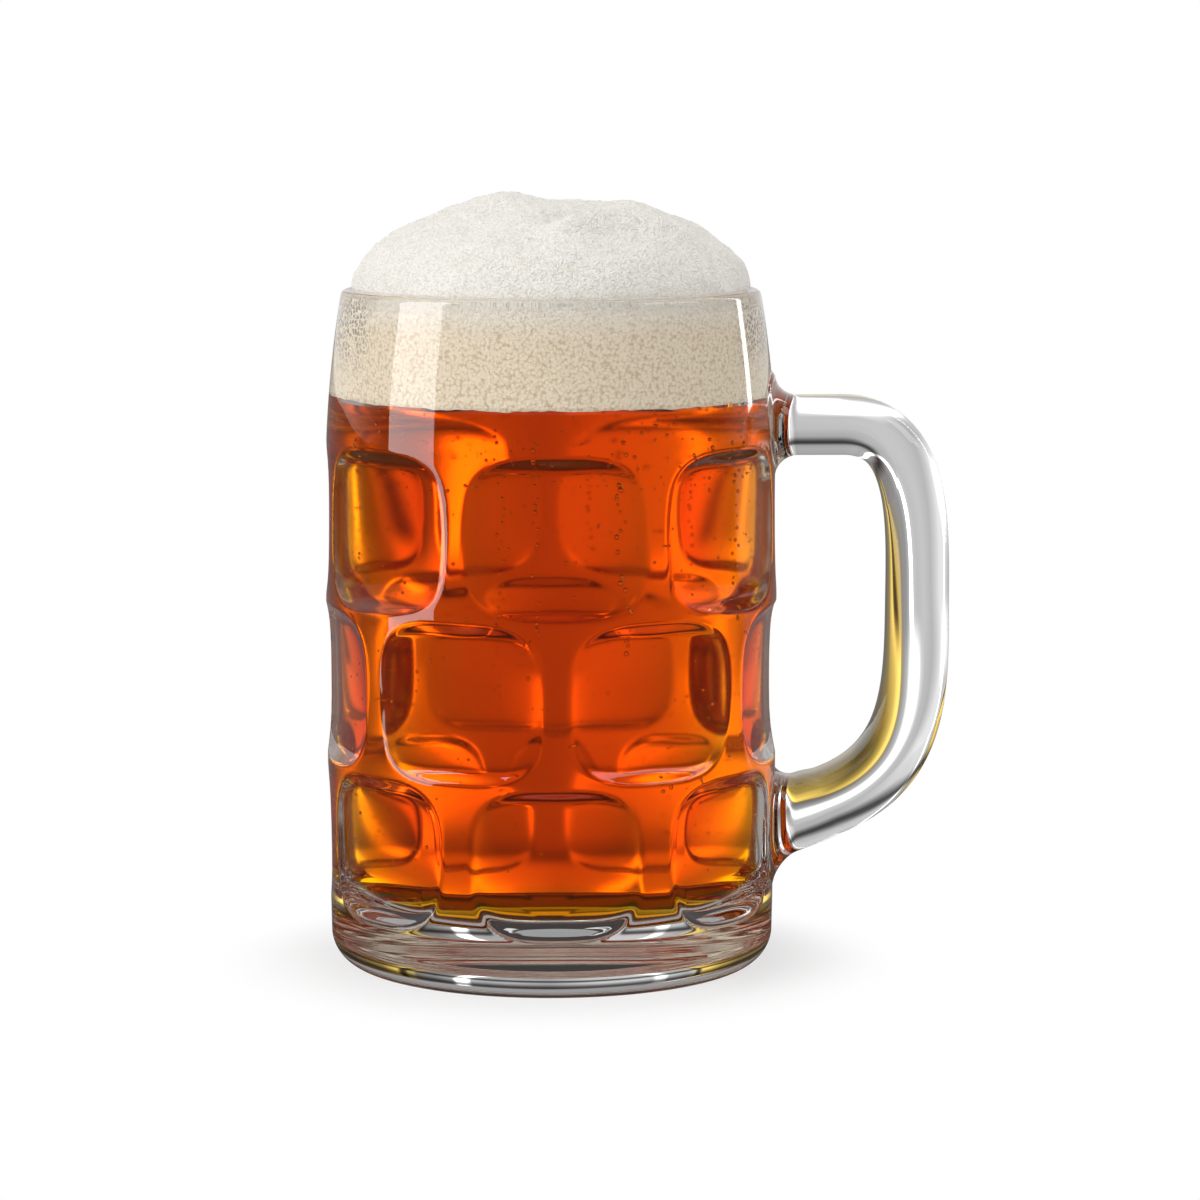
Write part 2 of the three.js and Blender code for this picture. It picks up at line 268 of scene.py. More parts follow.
heel = arc((FOOT_RADIUS - HEEL_RADIUS, HEEL_RADIUS), HEEL_RADIUS, -math.pi / 2, 0, HEEL_STEPS)
barrel = wall(barrel_radius, HEEL_RADIUS, SHOULDER_HEIGHT, BARREL_STEPS)[1:]
lip = wall(lip_radius, SHOULDER_HEIGHT, LIP_CENTRE[1], LIP_STEPS)[1:]
rim = arc(LIP_CENTRE, LIP_ROUND, 0, math.pi, RIM_STEPS)[1:]
inside = wall(cavity_radius, LIP_CENTRE[1], FLOOR_CORNER[1], INSIDE_STEPS)[1:]
fillet = arc(FLOOR_CORNER, FLOOR_FILLET, 0, -math.pi / 2, FILLET_STEPS)[1:]
outline = [(heel[0][0] - FLAT_EDGE, 0)] + heel + barrel + lip + rim + inside + fillet
outline += [(FLOOR_CORNER[0] - FLAT_EDGE, BASE_THICKNESS)]
pressed = [False] * (1 + len(heel)) + [True] * len(barrel) + [False] * len(outline)
rings = revolved_rings(outline, COLUMNS, pressed)
glass = skin("mug_glass", rings, (0, 0, 0), (0, 0, BASE_THICKNESS))
print("glass body:", len(glass.data.polygons), "faces")

# %% [markdown]
# ## Handle
# The handle is a rope of hot glass that is laid on, pressed to the wall and pulled round. Its
# section is a squared ellipse, it thickens toward the lower root, and both roots flare where the
# soft glass wetted the barrel. A bevelled curve gives one section all along, so the rings are
# placed in code, where they can change.

# %% Handle
WELD_PLANE = 50.5 * MM
UPPER_ARM_HEIGHT = 113.5 * MM
UPPER_BEND_START = 61 * MM
GRIP_REACH = 77 * MM
GRIP_HEIGHT = 76 * MM
LOWER_BEND_END = 58 * MM
LOWER_BEND_HEIGHT = 33.6 * MM
LOWER_ARM_SLOPE = math.radians(20)
UPPER_BEND_PULL = 17 * MM
UPPER_GRIP_PULL = 16 * MM
LOWER_GRIP_PULL = 18.5 * MM
LOWER_BEND_PULL = 20.6 * MM
HANDLE_WIDTH = 20 * MM
UPPER_ARM_THICKNESS = 12.4 * MM
GRIP_THICKNESS = 13 * MM
LOWER_BEND_THICKNESS = 14 * MM
LOWER_ARM_THICKNESS = 18.4 * MM
HANDLE_SQUARENESS = 2.9
ROOT_FILLET = 5 * MM
ROOT_DEPTH = 43 * MM
FILLET_SINK = 0.3 * MM
WRAP_START = WELD_PLANE - 1 * MM
HANDLE_SIDES = 72

print("grip stands out by, mm:", round((GRIP_REACH - SHOULDER_RADIUS) / MM, 1))

# %% Handle path


def line(a, b, share):
    return a + (b - a) * share


def bezier(a, b, c, d, share):
    rest = 1 - share
    return rest**3 * a + 3 * rest**2 * share * b + 3 * rest * share**2 * c + share**3 * d


def smoothstep(value, low, high):
    share = np.clip((value - low) / (high - low), 0, 1)
    return share * share * (3 - 2 * share)


def handle_path():
    """Centre points (x, z) and thickness along the handle, from the upper root to the lower one."""
    upper = np.array([UPPER_BEND_START, UPPER_ARM_HEIGHT])
    grip = np.array([GRIP_REACH, GRIP_HEIGHT])
    lower = np.array([LOWER_BEND_END, LOWER_BEND_HEIGHT])
    slope = np.array([math.cos(LOWER_ARM_SLOPE), math.sin(LOWER_ARM_SLOPE)])
    upper_root = np.array([ROOT_DEPTH, UPPER_ARM_HEIGHT])
    lower_root = lower - slope * (LOWER_BEND_END - ROOT_DEPTH) / slope[0]
    up = np.array([0, 1])
    right = np.array([1, 0])
    points, thickness = [], []
    # Each run is a path, its steps, and the thickness at its start and its end.
    runs = (
        (lambda t: line(upper_root, upper, t), 44, UPPER_ARM_THICKNESS, UPPER_ARM_THICKNESS),
        (lambda t: bezier(upper, upper + right * UPPER_BEND_PULL, grip + up * UPPER_GRIP_PULL, grip, t),
         48, UPPER_ARM_THICKNESS, GRIP_THICKNESS),
        (lambda t: bezier(grip, grip - up * LOWER_GRIP_PULL, lower + slope * LOWER_BEND_PULL, lower, t),
         48, GRIP_THICKNESS, LOWER_BEND_THICKNESS),
        (lambda t: line(lower, lower_root, t), 40, LOWER_BEND_THICKNESS, LOWER_ARM_THICKNESS),
    )
    for n, (run, steps, start, end) in enumerate(runs):
        for i in range(1 if n else 0, steps + 1):
            points.append(run(i / steps))
            thickness.append(start + (end - start) * i / steps)
    return np.array(points), np.array(thickness)


print("steps along the handle:", len(handle_path()[0]))

# %% Handle skin


def handle_rings():
    points, thickness = handle_path()
    tangents = np.gradient(points, axis=0)
    tangents /= np.linalg.norm(tangents, axis=1)[:, None]
    turn = np.linspace(0, 2 * math.pi, HANDLE_SIDES, endpoint=False)
    power = 2 / HANDLE_SQUARENESS
    across = np.sign(np.cos(turn)) * np.abs(np.cos(turn)) ** power
    along = np.sign(np.sin(turn)) * np.abs(np.sin(turn)) ** power
    rings = []
    for (x, z), tangent, thick in zip(points, tangents, thickness):
        outward = np.array([-tangent[1], tangent[0]])
        upright = 1 - smoothstep(x, WELD_PLANE, LOWER_BEND_END)
        outward = outward * (1 - upright) + np.array([0, np.sign(outward[1])]) * upright
        outward /= np.linalg.norm(outward)
        run = np.clip(ROOT_FILLET - (x - SHOULDER_RADIUS + FILLET_SINK), 0, ROOT_FILLET)
        flare = ROOT_FILLET - math.sqrt(ROOT_FILLET**2 - run**2)
        y = -along * (HANDLE_WIDTH / 2 + flare)
        px = x + outward[0] * across * (thick / 2 + flare)
        pz = z + outward[1] * across * (thick / 2 + flare)
        wrap = 1 - smoothstep(x, WRAP_START, LOWER_BEND_END)
        px = px - wrap * (px - np.sqrt(np.maximum(px**2 - y**2, 0)))
        rings.append(np.stack([px, y, pz], -1))
    return np.array(rings), points


rings, centres = handle_rings()
(upper_x, upper_z), (lower_x, lower_z) = centres[0], centres[-1]
handle = skin("handle_blank", rings, (upper_x, 0, upper_z), (lower_x, 0, lower_z))
print("handle:", len(handle.data.polygons), "faces")

# %% [markdown]
# ## Fuse the handle on
# A fused joint leaves no seam inside the glass, so body and handle become one closed mesh. Two
# meshes that only overlap would be simpler, but the inner face left between them would show as a
# false mirror.

# %% Fuse the handle on


def fuse(piece, other):
    joined = piece.modifiers.new("fuse", "BOOLEAN")
    joined.operation = "UNION"
    joined.solver = "MANIFOLD"
    joined.object = other
    depsgraph = bpy.context.evaluated_depsgraph_get()
    mesh = bpy.data.meshes.new_from_object(piece.evaluated_get(depsgraph))
    piece.modifiers.clear()
    mesh.materials.clear()
    piece.data = mesh
    bpy.data.objects.remove(other)


fuse(glass, handle)
glass.data.shade_smooth()
print("fused glass:", len(glass.data.polygons), "faces")

# %% [markdown]
# ## Beer
# The drink fills the cavity up to the foam. Glass and beer touch, and two skins at the same place
# would flicker, so the beer ends a hair inside the glass. The bending of light at that border then
# belongs to the wet faces of the glass, and the beer itself only colours the light that runs
# through it.

# %% Beer
BEER_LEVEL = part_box("beer")[1][2]
BEER_GAP = 0.03 * MM
BEER_COLUMNS = 160


def beer_mesh():
    side = wall(lambda z: cavity_radius(z) - BEER_GAP, FLOOR_CORNER[1], BEER_LEVEL, INSIDE_STEPS)[1:]
    bottom = arc(FLOOR_CORNER, FLOOR_FILLET - BEER_GAP, -math.pi / 2, 0, FILLET_STEPS)
    edge = bottom[0]
    outline = [(edge[0] - FLAT_EDGE, edge[1])] + bottom + side
    outline += [(side[-1][0] - FLAT_EDGE, BEER_LEVEL)]
    rings = revolved_rings(outline, BEER_COLUMNS)
    return skin("beer_fill", rings, (0, 0, edge[1]), (0, 0, BEER_LEVEL))


beer = beer_mesh()
print("beer:", len(beer.data.polygons), "faces")

# %% [markdown]
# ## Foam head
# Foam stands as a band inside the lip and as a dome above the rim. It clings to the glass, so the
# band bites slightly into the wall and is seen right out to the edge. The dome has broad swells,
# one soft fold and fine ripples. Sculpting would do too, but a few waves with a fixed seed give
# the same foam on every run.

# %% Foam head
FOAM_GAP = 0.1 * MM
FOAM_BITE = 0.15 * MM
RIM_GAP = 0.6 * MM
FOAM_COLUMNS = 420
FOAM_CROWN = 18 * MM
FOAM_SWELLS = (
    (-13 * MM, -3 * MM, 2.4 * MM, 11 * MM),
    (19 * MM, 2 * MM, 1.4 * MM, 8 * MM),
    (4 * MM, 0 * MM, -1.2 * MM, 7 * MM),
)
FOLD_START = (0, -30 * MM)
FOLD_END = (27 * MM, -19 * MM)
FOLD_RISE = 2.4 * MM
FOLD_WIDTH = 3.6 * MM
FOLD_BEND = 3 * MM
FOLD_FADE_IN = (-0.15, 0.2)
FOLD_FADE_OUT = (0.75, 1.15)
VALLEY_SHARE = 0.8
waves = random.Random(7)


def ripples(points, length, count):
    """A soft unevenness between -1 and 1: waves of about one length that cross in all directions."""
    total = np.zeros(len(points))
    for _ in range(count):
        way = np.array([waves.gauss(0, 1) for _ in range(3)])
        way *= 2 * math.pi / (length * waves.uniform(0.7, 1.4) * np.linalg.norm(way))
        total += np.sin(points @ way + waves.uniform(0, 2 * math.pi))
    return total / math.sqrt(count)


def fold_height(points):
    """A soft fold that runs across the dome, with a shallow valley behind it."""
    start, end = np.array(FOLD_START), np.array(FOLD_END)
    along = end - start
    length = np.linalg.norm(along)
    away = points[:, :2] - start
    share = away @ along / length**2
    bent = FOLD_BEND * np.sin(math.pi * np.clip(share, 0, 1))
    across = (away[:, 0] * -along[1] + away[:, 1] * along[0]) / length - bent
    ends = smoothstep(share, *FOLD_FADE_IN) * (1 - smoothstep(share, *FOLD_FADE_OUT))
    crest = np.exp(-((across / FOLD_WIDTH) ** 2))
    valley = np.exp(-(((across - 2 * FOLD_WIDTH) / FOLD_WIDTH) ** 2))
    return FOLD_RISE * ends * (crest - VALLEY_SHARE * valley)


print("foam dome stands, mm:", round(FOAM_CROWN / MM, 1))

# %% Foam mesh
LETS_GO_FROM = LIP_CENTRE[1] - 3 * MM
LETS_GO_FULLY = LIP_CENTRE[1] - 0.5 * MM
BAND_STEPS = 24
LAP_STEPS = 8
DOME_STEPS = 110
RELIEF_FADE = (0.02, 0.3)
# Ripples are a rise, a length and a count of waves.
BROAD_RIPPLES = (0.35 * MM, 14 * MM, 9)
FINE_RIPPLES = ((0.12 * MM, 4 * MM, 12), (0.07 * MM, 1.9 * MM, 14))
RAGGED_RISE = 0.1 * MM
RAGGED_WAVES = ((2.4 * MM, 9), (9 * MM, 7))


def foam_radius(z):
    free = smoothstep(z, LETS_GO_FROM, LETS_GO_FULLY)
    return cavity_radius(z) + FOAM_BITE - (FOAM_BITE + RIM_GAP) * free


def foam_mesh():
    bottom = BEER_LEVEL + FOAM_GAP
    side = wall(foam_radius, bottom, LIP_CENTRE[1], BAND_STEPS)
    lap = arc(LIP_CENTRE, LIP_ROUND + RIM_GAP, math.pi, 2 * math.pi / 3, LAP_STEPS)[1:]
    edge = lap[-1]
    turn = np.linspace(0, math.pi / 2, DOME_STEPS)[1:-1]
    dome = list(zip(edge[0] * np.cos(turn), edge[1] + FOAM_CROWN * np.sin(turn)))
    outline = [(side[0][0] - FLAT_EDGE, bottom)] + side + lap + dome
    rings = np.array(revolved_rings(outline, FOAM_COLUMNS))
    top = np.array([0, 0, edge[1] + FOAM_CROWN])
    points = np.vstack([rings.reshape(-1, 3), [top]])
    height = np.clip((points[:, 2] - edge[1]) / FOAM_CROWN, 0, 1)
    for x, y, rise, spread in FOAM_SWELLS:
        distance = np.hypot(points[:, 0] - x, points[:, 1] - y) / spread
        points[:, 2] += rise * height * np.exp(-(distance**2))
    risen = smoothstep(height, *RELIEF_FADE)
    rise, length, count = BROAD_RIPPLES
    points[:, 2] += risen * (fold_height(points) + rise * ripples(points, length, count))
    fine = sum(rise * ripples(points, length, count) for rise, length, count in FINE_RIPPLES)
    points[:, 2] += risen * fine
    lower_edge = np.zeros(len(points))
    lower_edge[: 2 * FOAM_COLUMNS] = 1
    ragged = sum(ripples(points, length, count) for length, count in RAGGED_WAVES)
    points[:, 2] += lower_edge * RAGGED_RISE * (ragged - 1)
    rings = points[:-1].reshape(rings.shape)
    return skin("foam_head_look", rings, (0, 0, bottom), points[-1])


foam = foam_mesh()
print("foam:", len(foam.data.polygons), "faces")

# %% [markdown]
# ## Gas bubbles
# Gas leaves the beer as small bubbles that cling to the inside of the glass, most of them near the
# top, and as thin threads that rise from single spots. They could be instances on points, but here
# they are one joined mesh of small balls, placed with a fixed seed.

# %% Bubbles in the beer
BUBBLES_ON_WALL = 760
BUBBLES_NEAR_TOP = 420
BUBBLE_SMALL = 0.15 * MM
BUBBLE_LARGE = 0.42 * MM
MOSTLY_SMALL = 2.5
WALL_GAP = 0.05 * MM
WALL_DRIFT = 1.5 * MM
SURFACE_GAP = 1 * MM
TOP_LAYER = 16 * MM
CHAIN_START = (45, 60)
CHAIN_END_GAP = 4 * MM
CHAIN_SWAY = 0.5 * MM
CHAIN_STEP = (0.9, 3.2)
CHAIN_SIZES = (0.55, 1)
CHAINS = (
    (-11 * MM, -35 * MM, 0.45), (-4 * MM, -37 * MM, 0.5), (13 * MM, -35 * MM, 0.6),
    (9 * MM, 35 * MM, 0.5), (-30 * MM, 20 * MM, 0.5), (34 * MM, -14 * MM, 0.45),
)
bubble_dice = random.Random(11)


def wall_bubble(low, high):
    """A bubble that clings to the inside of the glass."""
    z = bubble_dice.uniform(low, high)
    turn = bubble_dice.uniform(0, 2 * math.pi)
    radius = BUBBLE_SMALL + (BUBBLE_LARGE - BUBBLE_SMALL) * bubble_dice.random() ** MOSTLY_SMALL
    reach = cavity_radius(z) - BEER_GAP - radius - WALL_GAP - abs(bubble_dice.gauss(0, WALL_DRIFT))
    return (reach * math.cos(turn), reach * math.sin(turn), z, radius)


def chain_bubbles(x, y, size):
    """A thread of bubbles that rises from one spot and widens upwards."""
    z = BASE_THICKNESS + bubble_dice.uniform(*CHAIN_START) * MM
    found = []
    while z < BEER_LEVEL - CHAIN_END_GAP:
        radius = size * MM * bubble_dice.uniform(*CHAIN_SIZES)
        swayed_x = x + bubble_dice.gauss(0, CHAIN_SWAY)
        swayed_y = y + bubble_dice.gauss(0, CHAIN_SWAY)
        found.append((swayed_x, swayed_y, z, radius))
        z += bubble_dice.uniform(*CHAIN_STEP) * MM
    return found


print("threads of bubbles:", len(CHAINS))

# %% Bubble mesh


def bubbles_mesh(spots):
    ball = bmesh.new()
    bmesh.ops.create_icosphere(ball, subdivisions=2, radius=1)
    corners = np.array([v.co[:] for v in ball.verts])
    faces = np.array([[v.index for v in f.verts] for f in ball.faces])
    ball.free()
    spots = np.array(spots)
    points = spots[:, None, :3] + corners[None] * spots[:, None, 3:]
    index = faces[None] + (np.arange(len(spots)) * len(corners))[:, None, None]
    piece = add_mesh("beer_bubbles", points.reshape(-1, 3).tolist(), index.reshape(-1, 3).tolist())
    piece.data.shade_smooth()
    return piece


highest = BEER_LEVEL - SURFACE_GAP
spots = [wall_bubble(FLOOR_CORNER[1], highest) for _ in range(BUBBLES_ON_WALL)]
spots += [wall_bubble(BEER_LEVEL - TOP_LAYER, highest) for _ in range(BUBBLES_NEAR_TOP)]
for chain in CHAINS:
    spots += chain_bubbles(*chain)
bubbles = bubbles_mesh(spots)
print("bubbles:", len(spots))

# %% [markdown]
# ## Finishes
# Glass and beer are clear bodies, so their look comes from how strongly they bend and absorb
# light, and only the foam has a colour of its own. All finishes are small node trees, since these
# hold at any distance and need no picture. First come helpers that place and join the nodes.

# %% Node helpers


def new_material(name):
    material = bpy.data.materials.new(name)
    material.use_nodes = True
    return material, material.node_tree, material.node_tree.nodes["Principled BSDF"]


def node(tree, kind, operation=None, *inputs):
    """Adds a node and plugs values or sockets into its inputs in order."""
    made = tree.nodes.new(kind)
    if operation:
        made.operation = operation
    for socket, value in zip(made.inputs, inputs):
        if isinstance(value, bpy.types.NodeSocket):
            tree.links.new(value, socket)
        elif value is not None:
            socket.default_value = value
    return made


def calc(tree, operation, *inputs):
    return node(tree, "ShaderNodeMath", operation, *inputs).outputs[0]


def ramp(tree, value, low, high, start, end):
    """Runs smoothly from start to end while value goes from low to high."""
    made = tree.nodes.new("ShaderNodeMapRange")
    made.interpolation_type = "SMOOTHSTEP"
    tree.links.new(value, made.inputs["Value"])
    for name, number in (("From Min", low), ("From Max", high), ("To Min", start), ("To Max", end)):
        made.inputs[name].default_value = number
    return made.outputs["Result"]


def blend(tree, share, first, second):
    """A colour that goes from first to second with share."""
    mix = tree.nodes.new("ShaderNodeMix")
    mix.data_type = "RGBA"
    tree.links.new(share, mix.inputs["Factor"])
    for name, value in (("A", first), ("B", second)):
        socket = [i for i in mix.inputs if i.name == name and i.type == "RGBA"][0]
        if isinstance(value, bpy.types.NodeSocket):
            tree.links.new(value, socket)
        else:
            socket.default_value = value
    return [o for o in mix.outputs if o.type == "RGBA"][0]


def texture(tree, kind, place, scale):
    """A texture node that is laid over places at a scale."""
    made = tree.nodes.new(kind)
    tree.links.new(place, made.inputs["Vector"])
    made.inputs["Scale"].default_value = scale
    return made


def raise_surface(tree, shader, height, strength, distance):
    """Lets light fall on a surface as if it were raised by a height."""
    made = tree.nodes.new("ShaderNodeBump")
    made.inputs["Strength"].default_value = strength
    made.inputs["Distance"].default_value = distance
    tree.links.new(height, made.inputs["Height"])
    tree.links.new(made.outputs[0], shader.inputs["Normal"])


print("node helpers ready")

# %% [markdown]
# ## Glass
# Soda-lime glass bends light by 1.52. Where it is wet it borders on beer, which bends by 1.34, so
# only the ratio of the two counts there. Pressed glass is never quite even, and a faint long wave
# in the outside bends straight reflections a little. The plunger leaves the inside wall a little
# duller than the floor.

# %% Glass finish
GLASS_INDEX = 1.52
BEER_INDEX = 1.34
WALL_DULLNESS = 0.16
WAVE_SCALE = 45
WAVE_STRENGTH = 0.25
WAVE_HEIGHT = 0.5 * MM


def clear_material(name, index, roughness=0):
    """A finish that lets all light through and only bends it."""
    material, _, shader = new_material(name)
    shader.inputs["Base Color"].default_value = (1, 1, 1, 1)
    shader.inputs["Roughness"].default_value = roughness
    shader.inputs["IOR"].default_value = index
    shader.inputs["Transmission Weight"].default_value = 1
    return material


def dry_glass_material():
    material = clear_material("clear_glass", GLASS_INDEX)
    tree = material.node_tree
    place = tree.nodes.new("ShaderNodeTexCoord").outputs["Object"]
    wave = texture(tree, "ShaderNodeTexNoise", place, WAVE_SCALE)
    wave.inputs["Detail"].default_value = 0
    shader = tree.nodes["Principled BSDF"]
    raise_surface(tree, shader, wave.outputs[0], WAVE_STRENGTH, WAVE_HEIGHT)
    return material


print("glass to beer:", round(GLASS_INDEX / BEER_INDEX, 3))

# %% [markdown]
# ## Beer and gas
# Malt colour takes out blue first, then green, and hardly any red: a thin layer looks yellow, a
# thick one red-brown. A coloured surface would tint every thickness alike, so the colour sits in
# the volume. A gas bubble is the reverse of a drop, and its index is the inverse of the beer's.

# %% Beer and bubble finish
MALT_COLOUR = (0.989, 0.856, 0.04, 1)
MALT_DENSITY = 250


def beer_material():
    material = clear_material("amber_beer", 1)
    tree = material.node_tree
    absorb = tree.nodes.new("ShaderNodeVolumeAbsorption")
    absorb.inputs["Color"].default_value = MALT_COLOUR
    absorb.inputs["Density"].default_value = MALT_DENSITY
    tree.links.new(absorb.outputs["Volume"], tree.nodes["Material Output"].inputs["Volume"])
    return material


def green_left(depth):
    """The share of green light that is left after a way through the beer."""
    return math.exp(-MALT_DENSITY * (1 - MALT_COLOUR[1]) * depth)


print("green left after 10 mm and 70 mm:", round(green_left(0.01), 2), round(green_left(0.07), 2))

# %% [markdown]
# ## Foam
# Foam is a crowd of tiny bubbles. The dome is pale with a fine grain, and is painted darker as
# shade where the grain dips between bubbles. The band behind the glass is creamier: that tint is
# painted amber light that comes through the beer, and the dark specks between its cells are painted
# shade in the holes. Just under the rim, at the sides and the back, the cells have drained to a wet
# film, whose dark is partly painted shade for the dark edge of the glass there, and the underside
# is soaked with beer and painted dark as the shade under the foam. Cells are Voronoi textures: a
# noise texture has no cell walls, and millions of modelled bubbles would be too many.

# %% Foam finish
FOAM_CELLS = ((1900, 0.5), (3600, 0.4), (900, 0.3))
FOAM_BUMP = 0.8
FOAM_BUMP_HEIGHT = 0.9 * MM
# The darker dome colour is painted shade where the grain dips between bubbles.
DOME_PAINTED_SHADE = (0.83, 0.78, 0.69, 1)
DOME_PALE = (0.94, 0.915, 0.87, 1)
BAND_CELL_SCALE = 1500
# The band's cream tint is painted amber light that comes through the beer, and its darker colour is
# painted shade in the holes between cells.
BAND_PAINTED_SHADE = (0.68, 0.51, 0.32, 1)
BAND_CREAM_AND_PAINTED_AMBER = (0.94, 0.79, 0.57, 1)
BAND_PAINTED_LIGHT_SHARE = 0.85


def foam_grain(tree, place):
    """The height of small round bubbles of three sizes."""
    total = 0
    for scale, weight in FOAM_CELLS:
        distance = texture(tree, "ShaderNodeTexVoronoi", place, scale).outputs["Distance"]
        dome = calc(tree, "MULTIPLY", distance, distance)
        total = calc(tree, "ADD", total, calc(tree, "MULTIPLY", dome, -weight))
    return total


def cream_with_painted_light(tree, place, tall, grain):
    """Pale on the dome with painted shade where it dips; in the band a cream that stands in for amber
    light through the beer, with specks of painted shade.
    """
    # Painted shade: the dome is darker where the grain dips between bubbles.
    dome = blend(tree, ramp(tree, calc(tree, "ADD", grain, 1), 0.45, 0.78, 0, 1), DOME_PAINTED_SHADE, DOME_PALE)
    # Dark specks of painted shade at the cell edges, on a cream tint of painted amber light.
    cells = texture(tree, "ShaderNodeTexVoronoi", place, BAND_CELL_SCALE).outputs["Distance"]
    band = blend(tree, ramp(tree, cells, 0.42, 0.85, 1, 0), BAND_PAINTED_SHADE, BAND_CREAM_AND_PAINTED_AMBER)
    # Below the rim the band colour, with its painted amber light and shade, takes over.
    low = ramp(tree, tall, RIM_HEIGHT - 10 * MM, RIM_HEIGHT + 3 * MM, BAND_PAINTED_LIGHT_SHARE, 0)
    return blend(tree, low, dome, band)


print("foam cells, mm:", [round(1 / scale / MM, 2) for scale, _ in FOAM_CELLS])

# %% Wet foam and painted shade
FILM_CELL_SCALE = 850
FILM_PATCH_SCALE = 90
# The wet film's dark colour is partly real drained foam and partly painted shade for the dark edge of
# the glass at the sides.
FILM_AND_PAINTED_SHADE_COLOUR = (0.2, 0.17, 0.12, 1)
# The soaked underside's dark colour is beer tint and painted shade under the foam.
SOAKED_AND_SHADED_COLOUR = (0.1, 0.045, 0.01, 1)


def drained_and_shaded_share(tree, place, deep, tall):
    """Where the cells have drained to a wet film, dark partly as painted shade for the dark glass edge:
    just under the rim, but not in front.
    """
    cells = texture(tree, "ShaderNodeTexVoronoi", place, FILM_CELL_SCALE)
    cells.feature = "DISTANCE_TO_EDGE"
    patches = texture(tree, "ShaderNodeTexNoise", place, FILM_PATCH_SCALE)
    patches.inputs["Detail"].default_value = 4
    share = ramp(tree, cells.outputs["Distance"], 0.06, 0.18, 0, 1)
    away_from_front = ramp(tree, deep, -24 * MM, -14 * MM, 0, 1)
    below_rim = ramp(tree, tall, RIM_HEIGHT - 3 * MM, RIM_HEIGHT - 1 * MM, 1, 0)
    above_beer = ramp(tree, tall, BEER_LEVEL + 3 * MM, RIM_HEIGHT - 9 * MM, 0, 1)
    patchy = ramp(tree, patches.outputs[0], 0.32, 0.5, 0, 0.85)
    for other in (away_from_front, below_rim, above_beer, patchy):
        share = calc(tree, "MULTIPLY", share, other)
    return share


def soaked_and_shaded_share(tree, x, deep, tall):
    """The underside, which is soaked with beer and painted dark as its shade, all over but at the wall.
    """
    square = calc(tree, "ADD", calc(tree, "MULTIPLY", x, x), calc(tree, "MULTIPLY", deep, deep))
    reach = calc(tree, "SQRT", square)
    wall_face = cavity_radius(BEER_LEVEL)
    off_wall = ramp(tree, reach, wall_face - 0.9 * MM, wall_face - 0.3 * MM, 0.95, 0)
    underside = ramp(tree, tall, BEER_LEVEL + 0.5 * MM, BEER_LEVEL + 1 * MM, 1, 0)
    return calc(tree, "MULTIPLY", off_wall, underside)


def foam_material():
    material, tree, shader = new_material("foam")
    shader.inputs["Roughness"].default_value = 0.55
    shader.inputs["Coat Weight"].default_value = 0.2
    shader.inputs["Coat Roughness"].default_value = 0.15
    place = tree.nodes.new("ShaderNodeTexCoord").outputs["Object"]
    x, deep, tall = node(tree, "ShaderNodeSeparateXYZ", None, place).outputs
    grain = foam_grain(tree, place)
    raise_surface(tree, shader, grain, FOAM_BUMP, FOAM_BUMP_HEIGHT)
    colour = cream_with_painted_light(tree, place, tall, grain)
    # Wet film, dark partly as painted shade at the sides and back.
    colour = blend(tree, drained_and_shaded_share(tree, place, deep, tall), colour, FILM_AND_PAINTED_SHADE_COLOUR)
    # Underside soaked with beer and darkened as painted shade.
    colour = blend(tree, soaked_and_shaded_share(tree, x, deep, tall), colour, SOAKED_AND_SHADED_COLOUR)
    tree.links.new(colour, shader.inputs["Base Color"])
    return material


foam_finish = foam_material()
print("foam finish:", len(foam_finish.node_tree.nodes), "nodes")

# %% [markdown]
# ## Put the finishes on
# The glass has three finishes: dry outside and rim, wet floor and wet wall. A face is wet when it
# lies inside the cavity and below the beer. Painting by hand would do for one mug, but a test of
# each face's place always fits.

# %% Put the finishes on
FLOOR_SLOT, WALL_SLOT = 1, 2
FLOOR_MARGIN = 0.1 * MM
WALL_MARGIN = 0.2 * MM
WET_INDEX = GLASS_INDEX / BEER_INDEX

glass.data.materials.append(dry_glass_material())
glass.data.materials.append(clear_material("wetted_floor", WET_INDEX))
glass.data.materials.append(clear_material("wetted_wall", WET_INDEX, WALL_DULLNESS))
wetted = 0
for face in glass.data.polygons:
    x, y, z = face.center
    if BASE_THICKNESS - FLOOR_MARGIN < z < BEER_LEVEL:
        inner = cavity_radius(max(z, FLOOR_CORNER[1]))
        if math.hypot(x, y) < inner + WALL_MARGIN:
            face.material_index = WALL_SLOT if z > FLOOR_CORNER[1] else FLOOR_SLOT
            wetted += 1
print("wetted faces:", wetted)
beer.data.materials.append(beer_material())
foam.data.materials.append(foam_finish)
bubbles.data.materials.append(clear_material("gas_bubble", 1 / BEER_INDEX))

# %% [markdown]
# ## Tie the pieces to the part
# Each look replaces its solids and rides with the root body, since nothing on a mug moves. Clear
# glass throws next to no shadow, and the lamps have to reach the foam through it. Tracing that
# light would take very many samples, so the glass and the bubbles do not block it.

# %% Tie the pieces to the part
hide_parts("glass_body", "handle")
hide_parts("beer")
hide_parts("foam_head")
for piece, slot in ((glass, "clear_glass"), (beer, "beer"), (bubbles, "beer"), (foam, "foam")):
    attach(piece, "root")

glass.visible_shadow = False
glass.visible_diffuse = False
beer.visible_diffuse = False
bubbles.visible_shadow = False
bubbles.visible_diffuse = False
print("pieces:", [piece.name for piece in (glass, beer, bubbles, foam)])

